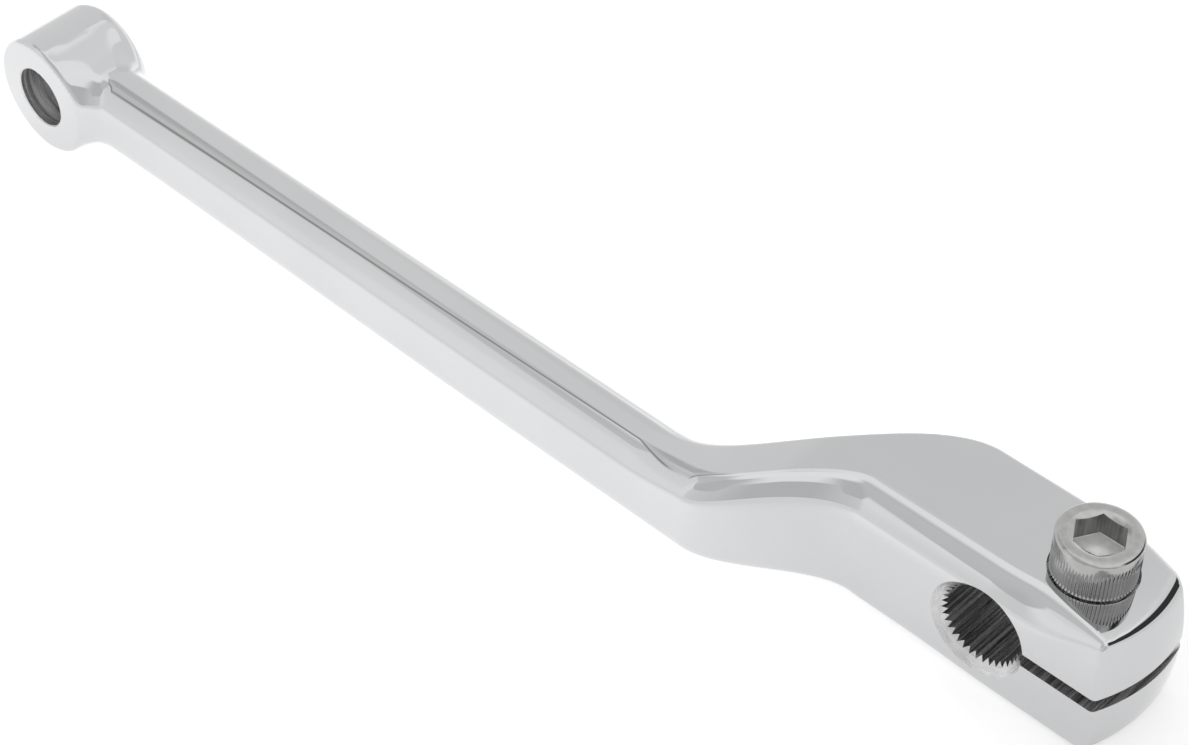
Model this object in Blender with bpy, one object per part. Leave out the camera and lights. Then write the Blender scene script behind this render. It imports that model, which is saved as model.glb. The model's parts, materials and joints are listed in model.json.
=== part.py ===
"""Foot shift lever of a motorcycle: one forged arm with a peg eye at one end and a split,
serrated clamp at the other, and the socket-head screw that closes the clamp.

Frame: X runs along the arm, from the peg eye (-X) to the clamp (+X). Y is the axis of both
bores, and the outboard side is -Y. Z is the axis of the screw. The origin is the centre of
the serrated bore. Lengths below are in millimetres, and MM turns them into metres.
"""

from math import cos, pi, radians, sin, sqrt

import bmesh
import bpy

MM = 0.001

# Clamp end
CLAMP_WIDTH = 21.2          # along Y
CLAMP_HEIGHT = 20.0         # along Z
END_RADIUS = 25.6           # plan radius of the end face
END_REACH = 21.6            # from the bore's axis to the furthest point of the end face
END_MIDDLE_Y = 0.5          # where along Y that furthest point lies
END_CROWN = 1.0             # how much the end face falls back at the top and the bottom
END_EDGE = 1.0              # rounding all round the end face
FAR_EDGE = 1.4              # rounding of the top inboard edge at the end
END_CORNER = 2.4            # how much the inboard side falls back at the end
SLIT = 2.2

# Serrated bore for the shift shaft
TEETH = 36
SERRATION_OUTER_R = 6.65
SERRATION_INNER_R = 6.0
BORE_CHAMFER = 1.0

# Shank and its sideways step
SHANK_WIDTH = 10.9
SHANK_HEIGHT = 14.0
SHANK_Y = -19.05            # centre line of the shank
SHANK_Z = 0.4
SHANK_EDGE = 4.8            # corner radius of its oval section
TAPER = (-170.0, -70.0)     # stretch over which the shank grows from the eye
TAPER_Y = 0.45              # by this much on its outboard side
TAPER_Z = 0.7               # and by this much underneath
STEP_FRONT = (-41.5, -21.2)  # where the outboard side starts and ends its step
STEP_BACK = (-47.9, -12.8)   # the same for the inboard side
STEP_TOP = (-51.8, -31.0)    # for the top, which rises
STEP_BOTTOM = (-42.0, -19.5)  # for the underside and its edges
STEP_BACK_EDGE = (-51.2, -20.6)  # and for the top inboard edge, which sharpens

# Peg eye
EYE_X = -182.0
EYE_Z = 0.6
EYE_R = 10.2                # outboard, and EYE_DRAFT more inboard
EYE_DRAFT = 0.5
EYE_BORE_R = 5.2
EYE_OUTBOARD = -26.3
EYE_LENGTH = 15.6
EYE_EDGES = (0.8, 2.8)      # rounding of its outboard and inboard edges
EYE_FILLET_TOP = 8.0        # blend from the eye into the top of the shank
EYE_FILLET_BOTTOM = 3.5     # and into its underside
EYE_BLEND = (6.0, 18.0)     # stretch past the eye's axis where its outboard face blends in

# Pinch screw: 5/16-18 socket head, 5/8 long
SCREW_X = 9.3
SCREW_Y = 0.9
HEAD_R = 5.95
HEAD_HEIGHT = 7.92
HEAD_TOP_EDGE = 0.55
HEAD_RELIEF = (0.7, 1.75)   # radial step and height of the relief under the knurl
BODY_R = 3.95
BODY_LENGTH = 15.9
SOCKET_ACROSS_FLATS = 6.35
SOCKET_DEPTH = 3.9
HOLE_R = 4.25
SPOTFACE_R = 6.4
SPOTFACE_DEPTH = 1.4
SEAT_GAP = 0.3

SECTION_STEPS = 7           # points in each rounded corner of a section
ROUND = 64                  # sides of a round


def new_collection(name):
    collection = bpy.data.collections.new(name)
    bpy.context.scene.collection.children.link(collection)
    return collection


def add_mesh(name, collection, points, faces):
    """A mesh object from points in millimetres, with its faces turned outwards."""
    mesh = bpy.data.meshes.new(name)
    mesh.from_pydata([[c * MM for c in point] for point in points], [], faces)
    shape = bmesh.new()
    shape.from_mesh(mesh)
    bmesh.ops.recalc_face_normals(shape, faces=shape.faces)
    shape.to_mesh(mesh)
    shape.free()
    obj = bpy.data.objects.new(name, mesh)
    collection.objects.link(obj)
    return obj


def as_cutter(obj):
    obj.hide_render = True
    obj.display_type = "WIRE"
    return obj


def combine(target, operation, other):
    """Joins or cuts with MANIFOLD, because EXACT leaves open edges where the chamfers cross
    the teeth of the serrated bore."""
    modifier = target.modifiers.new(other.name, "BOOLEAN")
    modifier.operation = operation
    modifier.solver = "MANIFOLD"
    modifier.object = other


def loft(rings):
    """Points and triangles of a closed skin through rings of as many points, with a fan at
    each end."""
    points = [point for ring in rings for point in ring]
    n = len(rings[0])
    faces = []
    for k in range(len(rings) - 1):
        for i in range(n):
            here, after = k * n + i, k * n + (i + 1) % n
            faces.append([here, after, after + n])
            faces.append([here, after + n, here + n])
    for ring, first in ((rings[0], 0), (rings[-1], len(points) - n)):
        middle = len(points)
        points.append(tuple(sum(c) / n for c in zip(*ring)))
        faces += [[first + i, first + (i + 1) % n, middle] for i in range(n)]
    return points, faces


def turned(profile, steps=ROUND):
    """Rings of a solid of revolution about Z, from (radius, height) pairs."""
    return [
        [(r * cos(2 * pi * i / steps), r * sin(2 * pi * i / steps), h) for i in range(steps)]
        for r, h in profile
    ]


def along_y(rings, x=0.0, z=0.0):
    """Turns rings about Z into rings about the line through (x, z) that runs along Y."""
    return [[(x + px, pz, z + py) for px, py, pz in ring] for ring in rings]


def moved(rings, x, y, z):
    return [[(x + px, y + py, z + pz) for px, py, pz in ring] for ring in rings]


def ease(x, span):
    """0 before the span, 1 after it, and a smooth rise between."""
    t = min(max((x - span[0]) / (span[1] - span[0]), 0.0), 1.0)
    return t * t * (3 - 2 * t)


def mix(a, b, t):
    return a + (b - a) * t


def eye_flare(x, half, fillet):
    """How far a fillet between the peg eye and an edge of the shank moves that edge at x.
    The edge is half from the eye's axis."""
    span = EYE_R + fillet
    reach = sqrt(span**2 - (half + fillet) ** 2)
    along = min(max(EYE_X + reach - x, 0), fillet * reach / span)
    return fillet - sqrt(fillet**2 - along**2)


def limits(x):
    """Outboard, inboard, bottom and top limits of the arm's section at x."""
    thin = 1 - ease(x, TAPER)
    shank_front = SHANK_Y - SHANK_WIDTH / 2 + TAPER_Y * thin
    shank_low = SHANK_Z - SHANK_HEIGHT / 2 + TAPER_Z * thin
    shank_high = SHANK_Z + SHANK_HEIGHT / 2
    front = mix(shank_front, -CLAMP_WIDTH / 2, ease(x, STEP_FRONT))
    front = mix(EYE_OUTBOARD + 0.1, front, ease(x - EYE_X, EYE_BLEND))
    back = mix(SHANK_Y + SHANK_WIDTH / 2, CLAMP_WIDTH / 2, ease(x, STEP_BACK))
    back -= END_CORNER * ease(x, (8.0, END_REACH))
    low = mix(shank_low, -CLAMP_HEIGHT / 2, ease(x, STEP_BOTTOM))
    low -= eye_flare(x, EYE_Z - shank_low, EYE_FILLET_BOTTOM)
    high = mix(shank_high, CLAMP_HEIGHT / 2, ease(x, STEP_TOP))
    high += eye_flare(x, shank_high - EYE_Z, EYE_FILLET_TOP)
    return front, back, low, high


def corner_radii(x):
    """Radii of the front-top, back-top, back-bottom and front-bottom corners at x."""
    front_top = mix(mix(SHANK_EDGE, 5.2, ease(x, STEP_TOP)), 1.6, ease(x, (0.0, 20.0)))
    back_top = mix(mix(SHANK_EDGE, 1.0, ease(x, STEP_BACK_EDGE)), FAR_EDGE, ease(x, (6.0, 19.0)))
    return (
        front_top,
        back_top,
        mix(SHANK_EDGE, 1.5, ease(x, STEP_BOTTOM)),
        mix(mix(SHANK_EDGE, 2.0, ease(x, STEP_BOTTOM)), 1.2, ease(x, (-12.0, 4.0))),
    )


def section(x):
    """The arm's section at x as (y, z) points: a rectangle with four corner radii."""
    front, back, low, high = limits(x)
    ft, bt, bb, fb = corner_radii(x)
    corners = (
        (front + ft, high - ft, ft, 90),
        (front + fb, low + fb, fb, 180),
        (back - bb, low + bb, bb, 270),
        (back - bt, high - bt, bt, 0),
    )
    return [
        (y + r * cos(radians(start + 90 * i / SECTION_STEPS)),
         z + r * sin(radians(start + 90 * i / SECTION_STEPS)))
        for y, z, r, start in corners
        for i in range(SECTION_STEPS + 1)
    ]


def end_x(y, z):
    """Where the curved end face lies."""
    fall = END_CROWN * (2 * z / CLAMP_HEIGHT) ** 2
    return END_REACH - END_RADIUS + sqrt(END_RADIUS**2 - (y - END_MIDDLE_Y) ** 2) - fall


def end_rings():
    """Rings that close the clamp end: three round its edge, then smaller ones over its face."""
    outline = section(END_REACH - 2.0)
    half_y, half_z = CLAMP_WIDTH / 2, CLAMP_HEIGHT / 2
    steps = [(END_EDGE * (1 - cos(a)), END_EDGE * (1 - sin(a))) for a in (0, pi / 4, pi / 2)]
    steps += [(inset, 0.0) for inset in (3.5, 6.5)]
    return [
        [
            (end_x(y * (1 - inset / half_y), z * (1 - inset / half_z)) - back,
             y * (1 - inset / half_y), z * (1 - inset / half_z))
            for y, z in outline
        ]
        for inset, back in steps
    ]


def stations():
    """Places along the arm where a section is taken: close together where it changes."""
    eye_end = [EYE_X + 4 + i for i in range(16)]
    shank = [-163, -160, -155, -150, -135, -120, -105, -90, -75, -60]
    step = [-52 + 2 * i for i in range(21)]
    clamp = [-8, -4, 0, 4, 8, 12, 15]
    return eye_end + shank + step + clamp


def lever_arm(collection, cutters):
    rings = [[(x, y, z) for y, z in section(x)] for x in stations()] + end_rings()
    arm = add_mesh("lever_arm", collection, *loft(rings))

    # The peg eye's boss, with a small outer edge outboard and a soft one inboard
    inboard = EYE_OUTBOARD + EYE_LENGTH
    small, soft = EYE_EDGES
    profile = [
        (EYE_R - small + small * sin(radians(a)), EYE_OUTBOARD + small - small * cos(radians(a)))
        for a in (0, 30, 60, 90)
    ] + [
        (EYE_R + EYE_DRAFT - soft + soft * cos(radians(a)), inboard - soft + soft * sin(radians(a)))
        for a in (0, 22.5, 45, 67.5, 90)
    ]
    boss = along_y(turned(profile), EYE_X, EYE_Z)
    combine(arm, "UNION", as_cutter(add_mesh("eye_boss_shape", cutters, *loft(boss))))

    # Plain bore of the peg eye
    bore = turned([(EYE_BORE_R, EYE_OUTBOARD - 5), (EYE_BORE_R, inboard + 5)], 48)
    cut_from(arm, "eye_bore_cutter", cutters, along_y(bore, EYE_X, EYE_Z))

    # Serrated bore, its chamfers, and the slit from it to the end face
    half = CLAMP_WIDTH / 2
    cut_from(arm, "serration_cutter", cutters, along_y(serration(-half - 5, half + 5)))
    for side, name in ((-1, "outboard"), (1, "inboard")):
        wide = SERRATION_OUTER_R + BORE_CHAMFER
        cone = [(wide - 3, half - 3), (wide + 2, half + 2)]
        cut_from(arm, name + "_chamfer_cutter", cutters,
                 along_y(turned([(r, side * h) for r, h in cone])))
    box = [[(x, y, z) for y, z in ((-half - 2, -SLIT / 2), (half + 2, -SLIT / 2),
                                   (half + 2, SLIT / 2), (-half - 2, SLIT / 2))]
           for x in (2.0, END_REACH + 3)]
    cut_from(arm, "slit_cutter", cutters, box)

    # Through hole for the screw, and the spot face under its head
    top = CLAMP_HEIGHT / 2
    hole = turned([(HOLE_R, -top - 3), (HOLE_R, top + 3)], 48)
    cut_from(arm, "screw_hole_cutter", cutters, moved(hole, SCREW_X, SCREW_Y, 0))
    spot = turned([(SPOTFACE_R, top - SPOTFACE_DEPTH), (SPOTFACE_R, top + 3)])
    cut_from(arm, "spot_face_cutter", cutters, moved(spot, SCREW_X, SCREW_Y, 0))
    return arm


def serration(start, end):
    """Rings of the toothed bore: V grooves between two radii."""
    def ring(h):
        radii = (SERRATION_OUTER_R, SERRATION_INNER_R)
        return [
            (radii[i % 2] * cos(pi * i / TEETH), radii[i % 2] * sin(pi * i / TEETH), h)
            for i in range(2 * TEETH)
        ]
    return [ring(start), ring(end)]


def cut_from(target, name, cutters, rings):
    combine(target, "DIFFERENCE", as_cutter(add_mesh(name, cutters, *loft(rings))))


def pinch_screw(collection, cutters):
    seat = CLAMP_HEIGHT / 2 - SPOTFACE_DEPTH + SEAT_GAP
    relief, relief_height = HEAD_RELIEF
    top = seat + HEAD_HEIGHT
    profile = [
        (BODY_R - 0.8, seat - BODY_LENGTH), (BODY_R, seat - BODY_LENGTH + 0.8),
        (BODY_R, seat), (HEAD_R - relief, seat), (HEAD_R, seat + relief_height),
        (HEAD_R, top - HEAD_TOP_EDGE), (HEAD_R - HEAD_TOP_EDGE, top),
    ]
    rings = moved(turned(profile), SCREW_X, SCREW_Y, 0)
    screw = add_mesh("pinch_screw", collection, *loft(rings))
    corner = SOCKET_ACROSS_FLATS / sqrt(3)
    hexagon = turned([(corner, top - SOCKET_DEPTH), (corner, top + 2)], 6)
    cut_from(screw, "socket_cutter", cutters, moved(hexagon, SCREW_X, SCREW_Y, 0))
    mouth = turned([(corner - 1.2, top - 1.2), (corner + 1.0, top + 1.0)], 48)
    cut_from(screw, "socket_mouth_cutter", cutters, moved(mouth, SCREW_X, SCREW_Y, 0))
    return screw


def chrome(name, colour, roughness):
    material = bpy.data.materials.new(name)
    material.use_nodes = True
    surface = material.node_tree.nodes["Principled BSDF"]
    surface.inputs["Base Color"].default_value = (*colour, 1.0)
    surface.inputs["Roughness"].default_value = roughness
    surface.inputs["Metallic"].default_value = 1.0
    return material


def main():
    for obj in list(bpy.data.objects):
        bpy.data.objects.remove(obj)
    parts = new_collection("shift_lever")
    cutters = new_collection("cutters")
    arm = lever_arm(parts, cutters)
    screw = pinch_screw(parts, cutters)
    arm.data.materials.append(chrome("polished_chrome", (0.85, 0.86, 0.87), 0.06))
    screw.data.materials.append(chrome("plated_screw", (0.72, 0.73, 0.74), 0.22))
    for obj in (arm, screw):
        obj.data.shade_smooth()
        obj.data.set_sharp_from_angle(angle=radians(35))


main()
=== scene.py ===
"""Looks of the foot shift lever: a mirror-polished chrome arm and its knurled pinch screw, on a
pale floor in a soft studio. Shapes are worked out in millimetres in the frame of the CAD model,
and MM turns them into metres."""
import json
from math import cos, pi, radians, sin, sqrt

import bmesh
import bpy
import numpy as np
from mathutils import Matrix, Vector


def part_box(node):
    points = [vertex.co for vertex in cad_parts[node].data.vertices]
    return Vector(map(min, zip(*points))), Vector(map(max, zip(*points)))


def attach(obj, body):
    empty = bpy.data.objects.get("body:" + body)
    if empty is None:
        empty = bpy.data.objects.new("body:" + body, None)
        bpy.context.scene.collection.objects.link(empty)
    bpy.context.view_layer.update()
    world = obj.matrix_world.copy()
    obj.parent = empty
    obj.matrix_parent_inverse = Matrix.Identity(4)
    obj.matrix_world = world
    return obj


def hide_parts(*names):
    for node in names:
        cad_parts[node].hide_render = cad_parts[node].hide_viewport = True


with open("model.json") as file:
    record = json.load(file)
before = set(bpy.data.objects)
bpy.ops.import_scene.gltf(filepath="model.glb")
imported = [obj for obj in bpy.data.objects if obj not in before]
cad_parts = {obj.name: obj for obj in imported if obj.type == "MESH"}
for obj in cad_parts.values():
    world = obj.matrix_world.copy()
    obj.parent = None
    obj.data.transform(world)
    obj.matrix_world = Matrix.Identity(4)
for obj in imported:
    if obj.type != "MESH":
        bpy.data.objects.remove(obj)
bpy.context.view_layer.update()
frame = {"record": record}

MM = 0.001
MOUNTS = {mount["name"]: mount for mount in frame["record"]["mounts"]}


def mount_place(name, axis):
    return MOUNTS[name]["pos_m"]["xyz".index(axis)] / MM


def node_limit(node, end, axis):
    """The node's lowest place along an axis with end 0, and its highest with end 1."""
    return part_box(node)[end]["xyz".index(axis)] / MM


def node_middle(node, axis):
    return round((node_limit(node, 0, axis) + node_limit(node, 1, axis)) / 2, 3)


# Clamp end
OUTBOARD = mount_place("clamp_outboard_face", "y")
INBOARD = mount_place("clamp_inboard_face", "y")
CLAMP_HALF = 10.0
END_RADIUS = 25.6
END_REACH = 21.6
END_MIDDLE_Y = 0.5
END_CROWN = (0.9, 1.8)      # by which the end falls back at its bottom and at its top
END_EDGE = (0.4, 2.0)       # rounding of the end's rim at its front and its far corner
END_CORNER = 2.4            # by which the inboard side draws in towards the end
END_CORNER_SPAN = (8.0, END_REACH)
FRONT_LEAN = 1.7            # by which the front leans back at the top of the end
FRONT_LEAN_SPAN = (0.0, 18.0)
TOP_FALL = 0.35             # by which the top has sunk at the end
TOP_FALL_START = 10.0
BEVEL_TILT = radians(30)
BEVEL_WIDTH = (0.15, 1.3)   # of the bevel above the end, at its front and its far corner
BEVEL_EDGE = 0.35
SLIT = 2.2
SLIT_START = 2.0
SLIT_SIDES = ((-1, -1), (1, -1), (1, 1), (-1, 1))

# Serrated bore
TEETH = 36
SERRATION_OUTER_R = 6.65
SERRATION_INNER_R = 6.0
BORE_CHAMFER = 1.0

# Shank and step
SHANK_FRONT = -24.5
SHANK_BACK = -13.6
SHANK_LOW = -6.6
SHANK_HIGH = 7.4
SHANK_EDGE = 4.8
TAPER = (-170.0, -70.0)
TAPER_Y = 0.45
TAPER_Z = 0.7
STEP_FRONT = (-41.5, -21.2)
STEP_BACK = (-47.9, -12.8)
STEP_TOP = (-51.8, -31.0)
STEP_BOTTOM = (-42.0, -19.5)
STEP_BACK_EDGE = (-51.2, -20.6)

# The four long edges: where each changes beside the step, its radius on the clamp, its radius
# at the clamp's end, and where it changes from the one to the other
FRONT_TOP_EDGE = (STEP_TOP, 5.2, 0.5, (5.0, 21.0))
BACK_TOP_EDGE = (STEP_BACK_EDGE, 1.0, 1.4, (6.0, 19.0))
FRONT_LOW_EDGE = (STEP_BOTTOM, 2.0, 1.2, (-12.0, 4.0))
BACK_LOW_EDGE = (STEP_BOTTOM, 1.5, 1.5, (-12.0, 4.0))

# Peg eye
EYE_R = 10.2
EYE_DRAFT = 0.5             # by which its radius grows towards the inboard face
EYE_X = round(node_limit("lever_arm", 0, "x") + EYE_R + EYE_DRAFT, 3)
EYE_Z = mount_place("peg_eye_outboard_face", "z")
EYE_OUTBOARD = mount_place("peg_eye_outboard_face", "y")
EYE_INBOARD = mount_place("peg_eye_inboard_face", "y")
EYE_BORE_R = 5.2
EYE_BORE_EDGE = 0.2
EYE_EDGES = (0.8, 2.8)      # rounding of its outboard and its inboard rim
EYE_FILLET = (2.0, 3.8)     # between the eye and the shank, at the bottom and at the top
EYE_FILLET_CHANGE = (-3.0, 5.0)
EYE_BLEND = (5.0, 14.0)     # from its centre, where the shank's front comes forward to the eye's
EYE_STEP = 0.1              # by which the shank's front still lies behind the eye's there
EYE_OVERLAP = 4.0           # by which the shank stops short of the eye's centre
SHANK_END_EDGE = 0.1
EYE_REACH = 50.0            # further than this from its centre the eye changes nothing

# Pinch screw
SCREW_X = node_middle("pinch_screw", "x")
SCREW_Y = node_middle("pinch_screw", "y")
SCREW_TOP = node_limit("pinch_screw", 1, "z")
SCREW_END = node_limit("pinch_screw", 0, "z")
HEAD_R = 5.95
HEAD_HEIGHT = 7.92
HEAD_SEAT = SCREW_TOP - HEAD_HEIGHT
HEAD_TOP_EDGE = (0.95, 0.5)  # width and height of its rounding
BODY_R = 3.95
SOCKET_ACROSS_FLATS = 6.75
SOCKET_DEPTH = 3.9
SOCKET_FLOOR = SCREW_TOP - SOCKET_DEPTH
SOCKET_CORNER = SOCKET_ACROSS_FLATS / sqrt(3)
COUNTERSINK = 0.45          # width of the countersink at the hexagon's corners
COUNTERSINK_SLOPE = 0.5
FLUTES = 72
FLUTE_STEPS = 10            # points around the screw for each flute
FLUTE_DEPTH = 0.2
FLUTE_SPAN = (1.4, 0.6)     # their height above the seat and their end below the top edge
FLUTE_START = (1.3, 1.8)    # heights above the seat over which they grow
FLUTE_END = (4.0, 0.8)      # height above the seat, and distance below the top edge, between
                            # which they fade away again
FLUTE_RINGS = 24
HEAD_EDGE_RINGS = 13
THREAD_PITCH = 1.411
THREAD_STEPS = 14           # rings along one pitch
THREAD_DEPTH = 0.75
THREAD_POINT = (0.8, 0.75)  # length and depth of the point at the screw's end
THREAD_RUN_OUT = (1.5, 2.9)  # distances under the head at which the thread ends and is full
HOLE_R = 4.25
SPOTFACE_R = 6.2
SPOTFACE_DEPTH = 1.4

# The screw's outline under the head: radius past the body's, then inside the head's, each with
# the height above the seat
NECK = ((0.0, -0.4), (0.25, -0.05), (0.3, 0.0))
RELIEF = ((0.75, 0.0), (0.6, 0.05), (0.55, 0.8), (0.45, 1.15), (0.08, 1.3))

# How the meshes are made
GRID = 0.5                  # spacing of the grid that the arm's skin is taken from
SETTLING_TURNS = 6
ROUND_STEPS = 128
OVERCUT = 3.0               # by which a cutter stands out of the arm
ARM_SHARP = radians(28)
SCREW_SHARP = radians(32)
SKIN_GAP = 0.06             # a face's corners on the arm's own skin lie nearer to it than this
SKIN_MATCH = 0.8            # and their slope agrees with the face's normal by at least this

# Studio
CAMERA_PLACE = (0.12498, -0.21332, 0.26710)
CAMERA_AZIMUTH = radians(43.97)
CAMERA_ELEVATION = radians(43.39)
CAMERA_LENS = 80.3
FLOOR_HALF = 4.0 / MM
FLOOR_GAP = 0.1

# The floor's glow, with places in metres: it changes between two levels over a span of X, and
# to a third one with the distance from a middle line
GLOW_X = (-0.045, 0.02)
GLOW_LEVELS = (0.69, 0.44)
GLOW_MIDDLE_Y = -0.012
GLOW_FADE = (0.045, 0.11)
GLOW_FAR_LEVEL = 0.42

# The sky's brightness by azimuth, and the elevation at which its ceiling starts, in degrees
WALLS = (
    (0, 0.56), (60, 0.56), (90, 0.585), (104, 0.59), (112, 0.55), (118, 0.52), (127, 0.52),
    (133, 0.55), (165, 0.565), (199, 0.59), (226, 0.615), (231, 0.655), (243, 0.67), (251, 0.56),
    (295, 0.50), (315, 0.43), (345, 0.42), (360, 0.56),
)
CEILING = (
    (0, 0.72), (84, 0.70), (92, 0.60), (112, 0.60), (120, 0.65), (130, 0.70), (160, 0.70),
    (169, 0.66), (180, 0.52), (190, 0.46), (205, 0.48), (236, 0.47), (250, 0.43), (290, 0.44),
    (302, 0.50), (320, 0.70), (360, 0.72),
)
CEILING_START = (
    (0, 50), (119, 48), (126, 57), (150, 57), (158, 51), (225, 52), (244, 36), (250, 32),
    (288, 32), (300, 50), (360, 50),
)
CEILING_SOFTNESS = 0.035    # as a share of a right angle
ZENITH = (74, 82, 0.72)     # elevations over which it fades in, and its brightness
SKY_STRENGTH = 1.7

# Patches of the sky: spans of azimuth and elevation, softness of the edge, brightness
DIM_PATCH = ((156, 182), (40, 56), 9.0, 0.38)
LOW_STRIP = ((85, 125), (-12, 12), 18.0, 0.80)

# Overhead bar: its turn from Y in degrees, where it fades in and out along and across itself in
# the level plane at height 1, and its brightness
BAR_TURN = -34
BAR_ALONG = ((-1.15, -0.8), (-0.02, -0.14))
BAR_ACROSS = ((-0.90, -0.62), (-0.52, -0.58))
BAR_LEVEL = 0.47
BAR_LINE = (-0.6, -0.54, 0.05)  # dark line on its edge nearest the zenith: sides and softness
BAR_LINE_LEVEL = 0.22

# Dark flag: both its sides and their softness, across and along Y, in the same level plane
FLAG_ACROSS = (0.5, 2.2, 0.1)
FLAG_ALONG = (0.3, 4.0, 0.2)
FLAG_LEVEL = 0.03


# ---------------------------------------------------------------- the arm's shape as a field

def ease(x, span):
    """0 before the span, 1 after it, and a smooth rise between. A span given backwards makes
    it fall instead."""
    t = np.clip((x - span[0]) / (span[1] - span[0]), 0.0, 1.0)
    return t * t * (3 - 2 * t)


def mix(a, b, t):
    return a + (b - a) * t


def rounded_both(a, b, radius):
    """Field of the space inside both a and b, whose common edge is rounded."""
    outside = np.hypot(np.maximum(a + radius, 0), np.maximum(b + radius, 0))
    return np.minimum(np.maximum(a, b), -radius) + outside


def filleted_either(a, b, radius):
    """Field of the space inside a or b, with a fillet in the corner between them."""
    inside = np.hypot(np.maximum(radius - a, 0), np.maximum(radius - b, 0))
    return np.maximum(np.minimum(a, b), radius) - inside


def bar_sides(x, z):
    """Where the bar's front, back, bottom and top lie at x. The front leans with z as well."""
    thin = 1 - ease(x, TAPER)
    front = mix(SHANK_FRONT + TAPER_Y * thin, OUTBOARD, ease(x, STEP_FRONT))
    front = mix(EYE_OUTBOARD + EYE_STEP, front, ease(x - EYE_X, EYE_BLEND))
    front += FRONT_LEAN * np.maximum(z / CLAMP_HALF, 0.0) ** 2 * ease(x, FRONT_LEAN_SPAN)
    back = mix(SHANK_BACK, INBOARD, ease(x, STEP_BACK))
    back -= END_CORNER * ease(x, END_CORNER_SPAN)
    low = mix(SHANK_LOW + TAPER_Z * thin, -CLAMP_HALF, ease(x, STEP_BOTTOM))
    high = mix(SHANK_HIGH, CLAMP_HALF, ease(x, STEP_TOP))
    high -= TOP_FALL * np.maximum((x - TOP_FALL_START) / (END_REACH - TOP_FALL_START), 0.0) ** 2
    return front, back, low, high


def edge_radius(x, step, clamp, end, end_span):
    """Radius of a long edge: the shank's, then the clamp's, then the one at the clamp's end."""
    return mix(mix(SHANK_EDGE, clamp, ease(x, step)), end, ease(x, end_span))


def bar_field(x, y, z):
    """Field of the shank, the step and the clamp, without their ends: a rectangle with four
    corner radii that changes along x."""
    front, back, low, high = bar_sides(x, z)
    across = y - (front + back) / 2
    up = z - (low + high) / 2
    front_radius = np.where(
        up > 0, edge_radius(x, *FRONT_TOP_EDGE), edge_radius(x, *FRONT_LOW_EDGE))
    back_radius = np.where(
        up > 0, edge_radius(x, *BACK_TOP_EDGE), edge_radius(x, *BACK_LOW_EDGE))
    a = np.abs(across) - (back - front) / 2
    b = np.abs(up) - (high - low) / 2
    return rounded_both(a, b, np.where(across < 0, front_radius, back_radius))


def end_field(x, y, z):
    """Distance past the clamp's end: an upright arc that also falls back up and down."""
    reach = np.sqrt(np.maximum(END_RADIUS**2 - (y - END_MIDDLE_Y) ** 2, 1.0)) - END_RADIUS
    crown = np.where(z > 0, END_CROWN[1], END_CROWN[0])
    return x - END_REACH - reach + crown * (z / CLAMP_HALF) ** 2


def clamp_end(bar, x, y, z):
    """The bar's field, ended by the arc and by the small bevel above it."""
    far = np.clip((y - OUTBOARD) / (INBOARD - END_CORNER - OUTBOARD), 0.0, 1.0)
    end = end_field(x, y, z)
    bar = rounded_both(bar, end, mix(*END_EDGE, far))
    depth = mix(*BEVEL_WIDTH, far) * sin(BEVEL_TILT) * cos(BEVEL_TILT)
    bevel = end * sin(BEVEL_TILT) + (z - CLAMP_HALF) * cos(BEVEL_TILT) + depth
    return rounded_both(bar, bevel, BEVEL_EDGE)


def eye_on(bar, x, y, z):
    """The bar's field with the eye: a slightly tapering drum, filleted into the bar and then
    faced on both sides."""
    along = (y - EYE_OUTBOARD) / (EYE_INBOARD - EYE_OUTBOARD)
    drum = np.hypot(x - EYE_X, z - EYE_Z) - EYE_R - EYE_DRAFT * along
    eye = filleted_either(bar, drum, mix(*EYE_FILLET, ease(z, EYE_FILLET_CHANGE)))
    eye = rounded_both(eye, EYE_OUTBOARD - y, EYE_EDGES[0])
    return rounded_both(eye, y - EYE_INBOARD, EYE_EDGES[1])


def arm_field(points):
    """Signed distance, near the skin, of the arm before anything is cut from it."""
    x, y, z = points[..., 0], points[..., 1], points[..., 2]
    bar = rounded_both(bar_field(x, y, z), EYE_X + EYE_OVERLAP - x, SHANK_END_EDGE)
    bar = clamp_end(bar, x, y, z)
    return np.where(x < EYE_X + EYE_REACH, eye_on(bar, x, y, z), bar)


def arm_slope(points):
    """Gradient of the arm's field, by central differences."""
    step = 0.02
    slope = np.empty_like(points)
    for axis in range(3):
        shift = np.zeros(3)
        shift[axis] = step
        slope[:, axis] = (arm_field(points + shift) - arm_field(points - shift)) / (2 * step)
    return slope


def crossing_quads(inside, number, axis):
    """A quad of cell numbers round each grid edge along the axis that crosses the surface."""
    cells = np.argwhere(inside != np.roll(inside, -1, axis=axis))
    cells = cells[cells[:, axis] < inside.shape[axis] - 1]
    ring = []
    for du, dv in ((0, 0), (-1, 0), (-1, -1), (0, -1)):
        place = cells.copy()
        place[:, (axis + 1) % 3] += du
        place[:, (axis + 2) % 3] += dv
        ring.append(number[tuple(place.T)])
    ring = np.stack(ring, axis=1)
    leaving = inside[tuple(cells.T)]
    ring[leaving] = ring[leaving][:, ::-1]
    return ring


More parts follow.
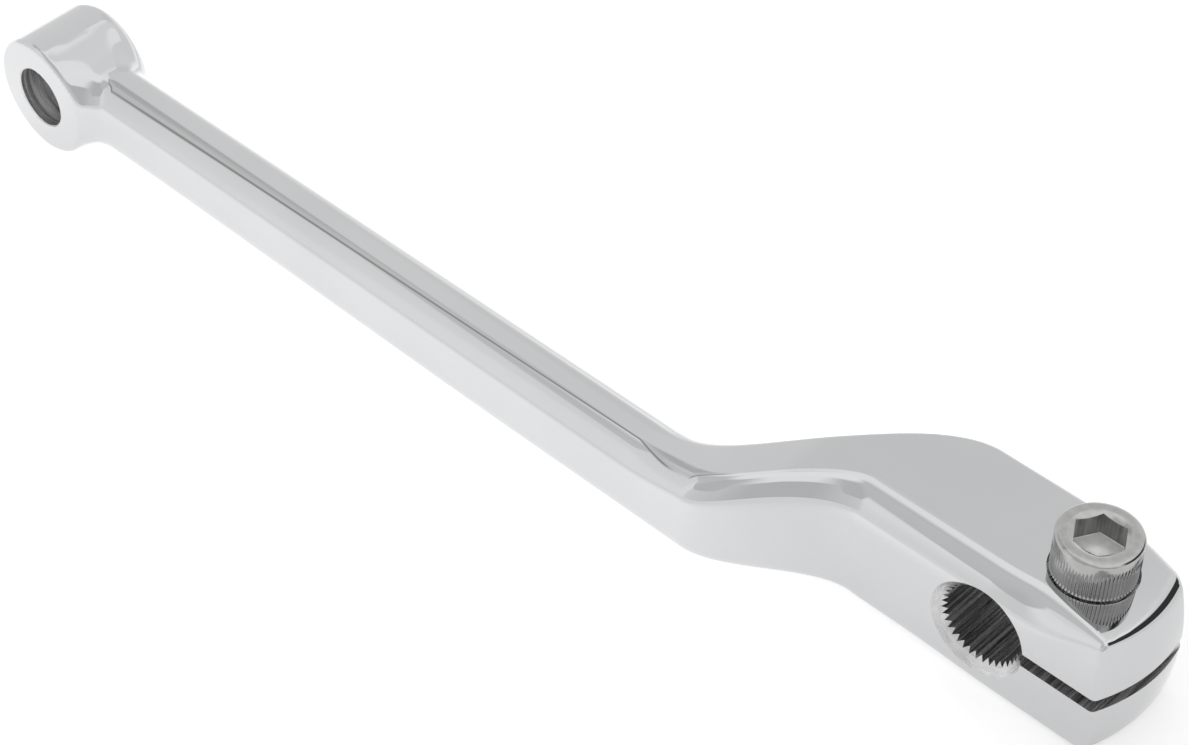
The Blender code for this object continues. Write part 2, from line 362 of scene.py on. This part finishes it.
def skin_of_field(low, high, spacing):
    """Points and quads of the field's zero surface: one point in each grid cell that the
    surface passes, and one quad round each grid edge that it crosses."""
    axes = [np.arange(a, b, spacing) for a, b in zip(low, high)]
    grid = np.stack(np.meshgrid(*axes, indexing="ij"), axis=-1)
    inside = arm_field(grid) < 0
    count = [len(a) for a in axes]
    corners = sum(
        inside[i:count[0] - 1 + i, j:count[1] - 1 + j, k:count[2] - 1 + k].astype(np.int8)
        for i in (0, 1) for j in (0, 1) for k in (0, 1)
    )
    crossed = (corners > 0) & (corners < 8)
    number = np.full(crossed.shape, -1)
    number[crossed] = np.arange(crossed.sum())
    points = np.stack([a[i] + spacing / 2 for a, i in zip(axes, np.nonzero(crossed))], axis=1)
    return points, np.concatenate([crossing_quads(inside, number, axis) for axis in range(3)])


def on_surface(points):
    """Points moved onto the surface by a few Newton steps."""
    for _ in range(3):
        slope = arm_slope(points)
        size = np.maximum((slope**2).sum(axis=1), 0.05)
        points = points - (arm_field(points) / size)[:, None] * slope
    return points


def evened(points, ends):
    """Points moved halfway to the middle of their neighbours."""
    total = np.zeros_like(points)
    share = np.zeros(len(points))
    np.add.at(total, ends[:, 0], points[ends[:, 1]])
    np.add.at(share, ends[:, 0], 1)
    np.add.at(total, ends[:, 1], points[ends[:, 0]])
    np.add.at(share, ends[:, 1], 1)
    return mix(points, total / share[:, None], 0.5)


def settled(points, quads):
    """Points moved onto the surface, and evened out along it."""
    ends = np.concatenate([quads[:, [i, (i + 1) % 4]] for i in range(4)])
    for _ in range(SETTLING_TURNS - 1):
        points = evened(on_surface(points), ends)
    return on_surface(points)


# ---------------------------------------------------------------- meshes

def add_mesh(name, points, faces):
    """An object in the scene from points in millimetres and faces of point numbers."""
    mesh = bpy.data.meshes.new(name)
    mesh.from_pydata((np.asarray(points) * MM).tolist(), [], [list(map(int, f)) for f in faces])
    mesh.validate()
    obj = bpy.data.objects.new(name, mesh)
    bpy.context.scene.collection.objects.link(obj)
    return obj


def face_outwards(obj):
    shape = bmesh.new()
    shape.from_mesh(obj.data)
    bmesh.ops.recalc_face_normals(shape, faces=shape.faces)
    shape.to_mesh(obj.data)
    shape.free()


def loft(rings):
    """Points and faces of a closed skin through rings of as many points."""
    n = len(rings[0])
    points = np.concatenate([np.asarray(ring, float) for ring in rings])
    faces = [
        (k * n + i, k * n + (i + 1) % n, (k + 1) * n + (i + 1) % n, (k + 1) * n + i)
        for k in range(len(rings) - 1) for i in range(n)
    ]
    last = len(points) - n
    for first, ring in ((0, rings[0]), (last, rings[-1])):
        points = np.vstack([points, np.mean(np.asarray(ring, float), axis=0)])
        faces += [(first + i, first + (i + 1) % n, len(points) - 1) for i in range(n)]
    return points, faces


def full_turn(steps):
    return 2 * pi * np.arange(steps) / steps


def ring_of(angles, radius, height):
    """Points about Z at these angles. The radius and the height may differ between them."""
    radius = np.broadcast_to(radius, angles.shape)
    height = np.broadcast_to(height, angles.shape)
    return np.stack([radius * np.cos(angles), radius * np.sin(angles), height], axis=1)


def turned(profile):
    """Rings of a solid of revolution about Z, from (radius, height) pairs."""
    return [ring_of(full_turn(ROUND_STEPS), r, h) for r, h in profile]


def along_y(rings, x=0.0, z=0.0):
    """Rings about Z turned to lie about the line through (x, z) that runs along Y."""
    return [np.stack([x + ring[:, 0], ring[:, 2], z + ring[:, 1]], axis=1) for ring in rings]


def at_screw(rings):
    return [ring + np.array([SCREW_X, SCREW_Y, 0.0]) for ring in rings]


def cut(target, name, rings):
    """Takes a lofted solid away from the target."""
    cutter = add_mesh(name, *loft(rings))
    face_outwards(cutter)
    modifier = target.modifiers.new(name, "BOOLEAN")
    modifier.operation = "DIFFERENCE"
    modifier.solver = "MANIFOLD"
    modifier.object = cutter
    graph = bpy.context.evaluated_depsgraph_get()
    result = bpy.data.meshes.new_from_object(target.evaluated_get(graph))
    target.modifiers.clear()
    target.data = result
    bpy.data.objects.remove(cutter)


def serration(start, end):
    """Rings of the toothed bore: V grooves between two radii."""
    radii = np.where(np.arange(2 * TEETH) % 2, SERRATION_INNER_R, SERRATION_OUTER_R)
    return [ring_of(full_turn(2 * TEETH), radii, height) for height in (start, end)]


def cut_eye_bore(arm):
    """The plain bore, with a narrow chamfer at both ends."""
    middle = (EYE_OUTBOARD + EYE_INBOARD) / 2
    half = (EYE_INBOARD - EYE_OUTBOARD) / 2
    mouth = (EYE_BORE_R + EYE_BORE_EDGE + OVERCUT, half + OVERCUT)
    throat = (EYE_BORE_R, half - EYE_BORE_EDGE)
    bore = turned([(mouth[0], -mouth[1]), (throat[0], -throat[1]), throat, mouth])
    cut(arm, "eye_bore", along_y([ring + np.array([0, 0, middle]) for ring in bore], EYE_X, EYE_Z))


def cut_serrated_bore(arm):
    half = (INBOARD - OUTBOARD) / 2
    cut(arm, "serrations", along_y(serration(-half - OVERCUT, half + OVERCUT)))
    wide = SERRATION_OUTER_R + BORE_CHAMFER
    for side, name in ((-1, "outboard_chamfer"), (1, "inboard_chamfer")):
        cone = [(wide - OVERCUT, side * (half - OVERCUT)), (wide + OVERCUT, side * (half + OVERCUT))]
        cut(arm, name, along_y(turned(cone)))


def cut_slit(arm):
    half = (INBOARD - OUTBOARD) / 2 + OVERCUT
    outline = [(side * half, level * SLIT / 2) for side, level in SLIT_SIDES]
    ends = (SLIT_START, END_REACH + OVERCUT)
    cut(arm, "slit", [np.array([(x, y, z) for y, z in outline]) for x in ends])


def cut_screw_seat(arm):
    """The screw's hole through both halves of the clamp, and the spot face under its head."""
    top = CLAMP_HALF + OVERCUT
    cut(arm, "screw_hole", at_screw(turned([(HOLE_R, -top), (HOLE_R, top)])))
    seat = CLAMP_HALF - SPOTFACE_DEPTH
    cut(arm, "spot_face", at_screw(turned([(SPOTFACE_R, seat), (SPOTFACE_R, top)])))


def values(items, name, width=1, kind=float):
    """One property of each of a mesh's items as an array, with rows of this width."""
    found = np.empty(len(items) * width, kind)
    items.foreach_get(name, found)
    return found.reshape(-1, width) if width > 1 else found


def paint(obj, materials, index):
    """Gives the object these materials, and each of its faces the one with its index."""
    obj.data.materials.clear()
    for material in materials:
        obj.data.materials.append(material)
    obj.data.polygons.foreach_set("material_index", index.astype(np.int32))


def smooth_skin(arm):
    """Shades the cut faces flat between sharp edges, and gives every corner on the arm's own
    skin the exact normal of its field. Returns which faces lie on the skin, and which on the
    chamfers of the serrated bore."""
    mesh = arm.data
    mesh.shade_smooth()
    mesh.set_sharp_from_angle(angle=ARM_SHARP)
    points = values(mesh.vertices, "co", 3) / MM
    slope = arm_slope(points)
    size = np.maximum(np.linalg.norm(slope, axis=1), 1e-6)
    slope /= size[:, None]
    off = np.abs(arm_field(points)) / size
    faces = values(mesh.polygons, "normal", 3)
    owner = np.repeat(np.arange(len(faces)), values(mesh.polygons, "loop_total", kind=np.int32))
    corners = values(mesh.loops, "vertex_index", kind=np.int32)
    match = (slope[corners] * faces[owner]).sum(axis=1)
    fits = (off[corners] < SKIN_GAP) & (match > SKIN_MATCH)
    on_skin = np.bincount(owner, weights=~fits, minlength=len(faces)) == 0
    normals = np.where(on_skin[owner][:, None], slope[corners], 0.0)
    # The bore's chamfers alone slope halfway between Y and the radius
    chamfer = ~on_skin & (np.abs(np.abs(faces[:, 1]) - sqrt(0.5)) < 0.02)
    cone = -points[corners] / np.hypot(points[corners, 0], points[corners, 2])[:, None]
    cone[:, 1] = np.sign(faces[owner, 1])
    normals = np.where(chamfer[owner][:, None], cone / sqrt(2), normals)
    mesh.normals_split_custom_set(normals.tolist())
    return on_skin, chamfer


def lever_arm():
    low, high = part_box("lever_arm")
    margin = 3 * GRID
    points, quads = skin_of_field([c / MM - margin for c in low], [c / MM + margin for c in high],
                                  GRID)
    arm = add_mesh("polished_arm", settled(points, quads), quads)
    face_outwards(arm)
    cut_eye_bore(arm)
    cut_serrated_bore(arm)
    cut_slit(arm)
    cut_screw_seat(arm)
    polished, chamfer = smooth_skin(arm)
    in_eye = values(arm.data.polygons, "center", 3)[:, 0] / MM < EYE_X + EYE_R
    materials = [
        polished_chrome(),
        cut_steel("broached_steel", grain=(1.0, 0.02, 1.0), dark=0.14, light=0.75),
        cut_steel("bored_steel", grain=(0.03, 1.0, 0.03), dark=0.26, light=0.80),
        cut_steel("chamfered_steel", grain=(0.2, 1.0, 0.2), dark=0.56, light=0.68),
    ]
    paint(arm, materials, np.select([polished, chamfer, in_eye], [0, 3, 2], 1))
    return arm


# ---------------------------------------------------------------- the screw

def hexagon_radius(angles):
    """Distance from the axis to a hexagon's side, with a corner on +X."""
    part = np.mod(angles, pi / 3) - pi / 6
    return SOCKET_ACROSS_FLATS / 2 / np.cos(part)


def thread_rings(angles):
    """The body: a groove that winds along it, and runs out at the point and under the head."""
    point_length, point_depth = THREAD_POINT
    last, full = HEAD_SEAT - THREAD_RUN_OUT[0], HEAD_SEAT - THREAD_RUN_OUT[1]
    rings = [ring_of(angles, BODY_R - 0.9, SCREW_END),
             ring_of(angles, BODY_R - point_depth, SCREW_END + 0.05)]
    for height in np.arange(SCREW_END + 0.1, HEAD_SEAT - 0.6, THREAD_PITCH / THREAD_STEPS):
        # crest is 0 at the groove's bottom and 1 on the crest, with slanted flanks between
        turn = np.mod(height / THREAD_PITCH - angles / (2 * pi), 1.0)
        crest = np.clip(np.abs(turn - 0.5) * 2.5 - 0.2, 0, 1)
        depth = THREAD_DEPTH * (1 - crest) * ease(height, (last, full))
        point = point_depth * (1 - ease(height, (SCREW_END, SCREW_END + point_length)))
        rings.append(ring_of(angles, np.minimum(BODY_R - depth, BODY_R - point), height))
    return rings


def head_rings(angles):
    """Bearing face, relief, knurled side and rounded top edge."""
    rings = [ring_of(angles, BODY_R + out, HEAD_SEAT + up) for out, up in NECK]
    rings += [ring_of(angles, HEAD_R - inward, HEAD_SEAT + up) for inward, up in RELIEF]
    edge_width, edge_height = HEAD_TOP_EDGE
    top = SCREW_TOP - edge_height
    groove = FLUTE_DEPTH * (0.5 - 0.5 * np.cos(FLUTES * angles)) ** 0.7
    start, end = HEAD_SEAT + FLUTE_SPAN[0], top - FLUTE_SPAN[1]
    for height in np.linspace(start, end, FLUTE_RINGS):
        from_top = ease(height, (top - FLUTE_END[1], HEAD_SEAT + FLUTE_END[0]))
        from_relief = ease(height, (HEAD_SEAT + FLUTE_START[0], HEAD_SEAT + FLUTE_START[1]))
        rings.append(ring_of(angles, HEAD_R - groove * from_top * from_relief, height))
    rings.append(ring_of(angles, HEAD_R, top - 0.25))
    for bend in np.linspace(0, pi / 2, HEAD_EDGE_RINGS):
        radius = HEAD_R - edge_width * (1 - cos(bend))
        rings.append(ring_of(angles, radius, top + edge_height * sin(bend)))
    return rings


def socket_rings(angles):
    """Flat top, countersunk mouth, hexagonal walls, and a floor with a drill point."""
    mouth = SOCKET_CORNER + COUNTERSINK
    wall = hexagon_radius(angles)
    levels = np.linspace(SCREW_TOP - 0.8, SOCKET_FLOOR + 0.15, 5)
    outline = [(HEAD_R - 1.05, SCREW_TOP), (mouth + 0.05, SCREW_TOP), (mouth, SCREW_TOP)]
    outline.append((wall, SCREW_TOP - (mouth - wall) * COUNTERSINK_SLOPE))
    outline += [(wall, level) for level in levels]
    outline += [(wall - 0.1, SOCKET_FLOOR + 0.03), (wall - 0.25, SOCKET_FLOOR)]
    outline += [(2.0, SOCKET_FLOOR), (1.1, SOCKET_FLOOR)]
    outline += [(0.5, SOCKET_FLOOR - 0.2), (0.15, SOCKET_FLOOR - 0.3)]
    return [ring_of(angles, radius, height) for radius, height in outline]


def pinch_screw():
    angles = full_turn(FLUTES * FLUTE_STEPS)
    rings = thread_rings(angles) + head_rings(angles) + socket_rings(angles)
    screw = add_mesh("knurled_screw", *loft(at_screw(rings)))
    face_outwards(screw)
    screw.data.shade_smooth()
    screw.data.set_sharp_from_angle(angle=SCREW_SHARP)
    x, y, z = values(screw.data.polygons, "center", 3).T / MM
    # The socket's own faces, from a little under its mouth down
    in_socket = np.hypot(x - SCREW_X, y - SCREW_Y) < SOCKET_CORNER + 0.01
    in_socket &= (z < SCREW_TOP - 0.4) & (z > SOCKET_FLOOR - 1.0)
    on_floor = in_socket & (z < SOCKET_FLOOR + 0.1)
    # The socket's floor gets a colour made bright as painted light, and its walls a colour made dark
    # as painted shade
    materials = [plated_screw(), socket_floor_painted_light(), socket_walls_painted_shade()]
    paint(screw, materials, np.select([on_floor, in_socket], [1, 2], 0))
    return screw


# ---------------------------------------------------------------- materials

class Nodes:
    """A material's node tree, with short ways to add and link nodes. Places are in metres."""

    def __init__(self, name):
        self.material = bpy.data.materials.new(name)
        self.material.use_nodes = True
        self.tree = self.material.node_tree
        self.surface = self.tree.nodes["Principled BSDF"]

    def add(self, kind, inputs=None, **settings):
        node = self.tree.nodes.new(kind)
        for key, value in settings.items():
            setattr(node, key, value)
        for key, value in (inputs or {}).items():
            if isinstance(value, bpy.types.NodeSocket):
                self.tree.links.new(value, node.inputs[key])
            else:
                node.inputs[key].default_value = value
        return node

    def place(self, scale=(1, 1, 1)):
        where = self.add("ShaderNodeTexCoord").outputs["Object"]
        return self.add("ShaderNodeMapping", {"Vector": where, "Scale": scale}).outputs[0]

    def noise(self, where, scale, detail=3.0, roughness=0.5):
        return self.add("ShaderNodeTexNoise", {"Vector": where, "Scale": scale, "Detail": detail,
                                               "Roughness": roughness}).outputs["Fac"]

    def range(self, value, low, high, out_low, out_high):
        return self.add("ShaderNodeMapRange", {
            "Value": value, "From Min": low, "From Max": high, "To Min": out_low,
            "To Max": out_high}).outputs[0]

    def tint(self, factor, *stops):
        ramp = self.add("ShaderNodeValToRGB", {"Fac": factor})
        for index, (place, colour) in enumerate(stops):
            if index > 1:
                ramp.color_ramp.elements.new(place)
            ramp.color_ramp.elements[index].position = place
            ramp.color_ramp.elements[index].color = (*colour, 1.0)
        return ramp.outputs["Color"]

    def bump(self, height, distance, strength=1.0, normal=None):
        inputs = {"Height": height, "Distance": distance, "Strength": strength}
        if normal is not None:
            inputs["Normal"] = normal
        return self.add("ShaderNodeBump", inputs).outputs[0]

    def set(self, **inputs):
        for key, value in inputs.items():
            socket = self.surface.inputs[key.replace("_", " ")]
            if isinstance(value, bpy.types.NodeSocket):
                self.tree.links.new(value, socket)
            else:
                socket.default_value = value


def polished_chrome():
    """Mirror chrome: faint cloudiness from polishing, hairline marks along the arm, and a
    very shallow waviness."""
    n = Nodes("polished_chrome")
    cloud = n.noise(n.place(), 45.0)
    hairline = n.noise(n.place((0.06, 1.0, 1.0)), 2600.0, detail=2.0)
    colour = n.tint(cloud, (0.3, (0.575, 0.578, 0.586)), (0.7, (0.60, 0.603, 0.61)))
    rough = n.range(hairline, 0.35, 0.75, 0.02, 0.05)
    wavy = n.bump(n.noise(n.place(), 60.0, detail=1.0), 0.00002, 0.6)
    n.set(Base_Color=colour, Metallic=1.0, Roughness=rough, Normal=wavy)
    return n.material


def cut_steel(name, grain, dark, light):
    """Bare cut surfaces in the bores and the slit: darker, and streaked by the tool. The grain
    is the noise's scale along each axis, and the streaks run along those where it is small."""
    n = Nodes(name)
    streaks = n.noise(n.place(grain), 2200.0, detail=3.0, roughness=0.6)
    fine = n.noise(n.place(grain), 6000.0, detail=2.0)
    colour = n.tint(streaks, (0.38, (dark, dark, dark)), (0.66, (light, light, light)))
    rough = n.range(streaks, 0.3, 0.7, 0.16, 0.34)
    scored = n.bump(fine, 0.00006, 0.6, n.bump(streaks, 0.0001, 0.6))
    n.set(Base_Color=colour, Metallic=0.75, Roughness=rough, Normal=scored)
    return n.material


def plated_screw():
    """Chrome plating over a rolled screw: a little duller than the arm and slightly mottled."""
    n = Nodes("plated_screw")
    mottle = n.noise(n.place(), 900.0, detail=4.0)
    colour = n.tint(mottle, (0.3, (0.40, 0.40, 0.395)), (0.7, (0.46, 0.46, 0.455)))
    rough = n.range(mottle, 0.3, 0.7, 0.10, 0.17)
    dimpled = n.bump(n.noise(n.place(), 1600.0, detail=2.0), 0.00001, 0.3)
    n.set(Base_Color=colour, Metallic=1.0, Roughness=rough, Normal=dimpled)
    return n.material


def socket_floor_painted_light():
    """The bottom of the socket: forged steel with a dull grain, whose colour is painted light, made
    bright where light from above falls into the socket.
    """
    n = Nodes("socket_floor_painted_light")
    grain = n.noise(n.place(), 1200.0, detail=4.0)
    colour = n.tint(grain, (0.3, (0.80, 0.80, 0.79)), (0.7, (0.95, 0.95, 0.94)))
    rough = n.range(grain, 0.3, 0.7, 0.35, 0.5)
    n.set(Base_Color=colour, Metallic=0.35, Roughness=rough, Normal=n.bump(grain, 0.00003, 0.5))
    return n.material


def socket_walls_painted_shade():
    """The sides of the socket: forged steel with fine marks down them, whose colour is painted
    shade, made darker in the socket's recess.
    """
    n = Nodes("socket_walls_painted_shade")
    marks = n.noise(n.place((1.0, 1.0, 0.08)), 1300.0, detail=3.0)
    colour = n.tint(marks, (0.3, (0.17, 0.17, 0.168)), (0.7, (0.34, 0.34, 0.335)))
    rough = n.range(marks, 0.3, 0.7, 0.12, 0.24)
    n.set(Base_Color=colour, Metallic=1.0, Roughness=rough, Normal=n.bump(marks, 0.00002, 0.5))
    return n.material


# ---------------------------------------------------------------- studio

def pale_floor():
    """A pale matt floor with a soft glow, which changes along the arm and is weaker at some
    distance on both sides of it."""
    n = Nodes("pale_floor")
    shade = n.noise(n.place(), 3.0)
    colour = n.tint(shade, (0.3, (0.68, 0.68, 0.68)), (0.7, (0.7, 0.7, 0.7)))
    where = n.add("ShaderNodeSeparateXYZ", {"Vector": n.place()}).outputs
    near = n.range(where["X"], *GLOW_X, *GLOW_LEVELS)
    off = n.add("ShaderNodeMath", {0: where["Y"], 1: -GLOW_MIDDLE_Y}, operation="ADD").outputs[0]
    off = n.add("ShaderNodeMath", {0: off}, operation="ABSOLUTE").outputs[0]
    fade = n.range(off, *GLOW_FADE, 0.0, 1.0)
    glow = n.add("ShaderNodeMix", {"Factor": fade, 2: near, 3: GLOW_FAR_LEVEL}).outputs[0]
    n.set(Base_Color=colour, Roughness=0.7, Emission_Color=(1.0, 1.0, 1.0, 1.0),
          Emission_Strength=glow)
    return n.material


def studio_floor():
    height = node_limit("lever_arm", 0, "z") - FLOOR_GAP
    sides = ((-1, -1), (1, -1), (1, 1), (-1, 1))
    corners = [(x * FLOOR_HALF, y * FLOOR_HALF, height) for x, y in sides]
    floor = add_mesh("floor", corners, [(0, 1, 2, 3)])
    floor.data.materials.append(pale_floor())


class Sky:
    """The studio's light: a brightness for each direction, built up in layers."""

    def __init__(self):
        world = bpy.data.worlds.new("studio")
        bpy.context.scene.world = world
        world.use_nodes = True
        self.tree = world.node_tree
        self.tree.nodes.clear()
        where = self.tree.nodes.new("ShaderNodeTexCoord").outputs["Generated"]
        split = self.tree.nodes.new("ShaderNodeSeparateXYZ")
        self.tree.links.new(where, split.inputs[0])
        self.x, self.y, self.z = split.outputs
        back = [self.math("MULTIPLY", value, -1) for value in (self.y, self.x)]
        turn = self.math("ARCTAN2", *back)
        # Degrees: azimuth runs from 0 at +X through 90 at +Y, elevation is 0 at the horizon
        self.azimuth = self.math("DEGREES", self.math("ADD", turn, pi))
        self.elevation = self.math("DEGREES", self.math("ARCSINE", self.z))

    def math(self, operation, a, b=0.0):
        node = self.tree.nodes.new("ShaderNodeMath")
        node.operation = operation
        for socket, value in zip(node.inputs, (a, b)):
            if isinstance(value, bpy.types.NodeSocket):
                self.tree.links.new(value, socket)
            else:
                socket.default_value = value
        return node.outputs[0]

    def rise(self, value, start, end):
        """0 at start, 1 at end and beyond, with a smooth edge."""
        node = self.tree.nodes.new("ShaderNodeMapRange")
        node.interpolation_type = "SMOOTHSTEP"
        self.tree.links.new(value, node.inputs["Value"])
        node.inputs["From Min"].default_value = start
        node.inputs["From Max"].default_value = end
        return node.outputs[0]

    def between(self, value, low, high, edge):
        up = self.rise(value, low - edge / 2, low + edge / 2)
        down = self.rise(value, high + edge / 2, high - edge / 2)
        return self.math("MULTIPLY", up, down)

    def patch(self, base, azimuth, elevation, edge, level):
        """base, with this level inside these spans of azimuth and elevation."""
        mask = self.math("MULTIPLY", self.between(self.azimuth, *azimuth, edge),
                         self.between(self.elevation, *elevation, edge))
        return self.over(base, mask, level)

    def overhead(self, turn):
        """Coordinates in a level plane at height 1, across and along a line in it that lies
        this many degrees round from Y."""
        height = self.math("MAXIMUM", self.z, 0.03)
        u = self.math("DIVIDE", self.x, height)
        v = self.math("DIVIDE", self.y, height)
        c, s = cos(radians(turn)), sin(radians(turn))
        across = self.math("ADD", self.math("MULTIPLY", u, c), self.math("MULTIPLY", v, s))
        along = self.math("ADD", self.math("MULTIPLY", u, -s), self.math("MULTIPLY", v, c))
        return across, along

    def around(self, stops):
        """A brightness that changes with azimuth, through (azimuth, brightness) stops."""
        ramp = self.tree.nodes.new("ShaderNodeValToRGB")
        self.tree.links.new(self.math("DIVIDE", self.azimuth, 360.0), ramp.inputs["Fac"])
        elements = ramp.color_ramp.elements
        while len(elements) < len(stops):
            elements.new(1.0)
        for element, (azimuth, level) in zip(elements, stops):
            element.position = azimuth / 360
            element.color = (level, level, level, 1.0)
        return ramp.outputs["Color"]

    def over(self, base, mask, level):
        """base where the mask is 0, and level where it is 1."""
        change = self.math("SUBTRACT", level, base)
        return self.math("ADD", base, self.math("MULTIPLY", mask, change))

    def light(self, level, strength):
        background = self.tree.nodes.new("ShaderNodeBackground")
        output = self.tree.nodes.new("ShaderNodeOutputWorld")
        self.tree.links.new(level, background.inputs["Color"])
        background.inputs["Strength"].default_value = strength
        self.tree.links.new(background.outputs[0], output.inputs[0])


def walls_and_ceiling(sky):
    edge = sky.around([(azimuth, height / 90) for azimuth, height in CEILING_START])
    above = sky.math("SUBTRACT", sky.math("DIVIDE", sky.elevation, 90), edge)
    return sky.over(sky.around(WALLS), sky.rise(above, 0, CEILING_SOFTNESS), sky.around(CEILING))


def overhead_bar(sky, base):
    """base, with a dim bar overhead that has a dark line along its edge nearest the zenith."""
    across, along = sky.overhead(BAR_TURN)
    reach = sky.math("MULTIPLY", *[sky.rise(along, *end) for end in BAR_ALONG])
    shade = reach
    for side in BAR_ACROSS:
        shade = sky.math("MULTIPLY", shade, sky.rise(across, *side))
    base = sky.over(base, shade, BAR_LEVEL)
    line = sky.math("MULTIPLY", reach, sky.between(across, *BAR_LINE))
    return sky.over(base, line, BAR_LINE_LEVEL)


def dark_flag(sky, base):
    """base, with a dark flag up beyond the clamp, on its inboard side."""
    across, along = sky.overhead(0)
    flag = sky.math("MULTIPLY", sky.between(across, *FLAG_ACROSS), sky.between(along, *FLAG_ALONG))
    return sky.over(base, flag, FLAG_LEVEL)


def studio_light():
    sky = Sky()
    level = walls_and_ceiling(sky)
    level = sky.patch(level, *DIM_PATCH)
    fade_start, fade_end, zenith_level = ZENITH
    level = sky.over(level, sky.rise(sky.elevation, fade_start, fade_end), zenith_level)
    level = overhead_bar(sky, level)
    level = sky.patch(level, *LOW_STRIP)
    level = dark_flag(sky, level)
    sky.light(level, SKY_STRENGTH)


def camera():
    """The viewpoint: above, outboard and beyond the clamp, looking back along the arm."""
    data = bpy.data.cameras.new("camera")
    data.sensor_width = 36.0
    data.lens = CAMERA_LENS
    data.clip_start = 0.01
    obj = bpy.data.objects.new("camera", data)
    bpy.context.scene.collection.objects.link(obj)
    turn_c, turn_s = cos(CAMERA_AZIMUTH), sin(CAMERA_AZIMUTH)
    rise_c, rise_s = cos(CAMERA_ELEVATION), sin(CAMERA_ELEVATION)
    right = (turn_c, turn_s, 0.0)
    back = (turn_s * rise_c, -turn_c * rise_c, rise_s)
    up = (-turn_s * rise_s, turn_c * rise_s, rise_c)
    facing = Matrix((right, up, back)).transposed().to_4x4()
    obj.matrix_world = Matrix.Translation(CAMERA_PLACE) @ facing
    bpy.context.scene.camera = obj


def main():
    camera()
    studio_floor()
    studio_light()
    bpy.context.scene.view_settings.view_transform = "Standard"
    arm = lever_arm()
    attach(arm, "arm")
    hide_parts("lever_arm")
    screw = pinch_screw()
    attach(screw, "screw")
    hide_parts("pinch_screw")


main()
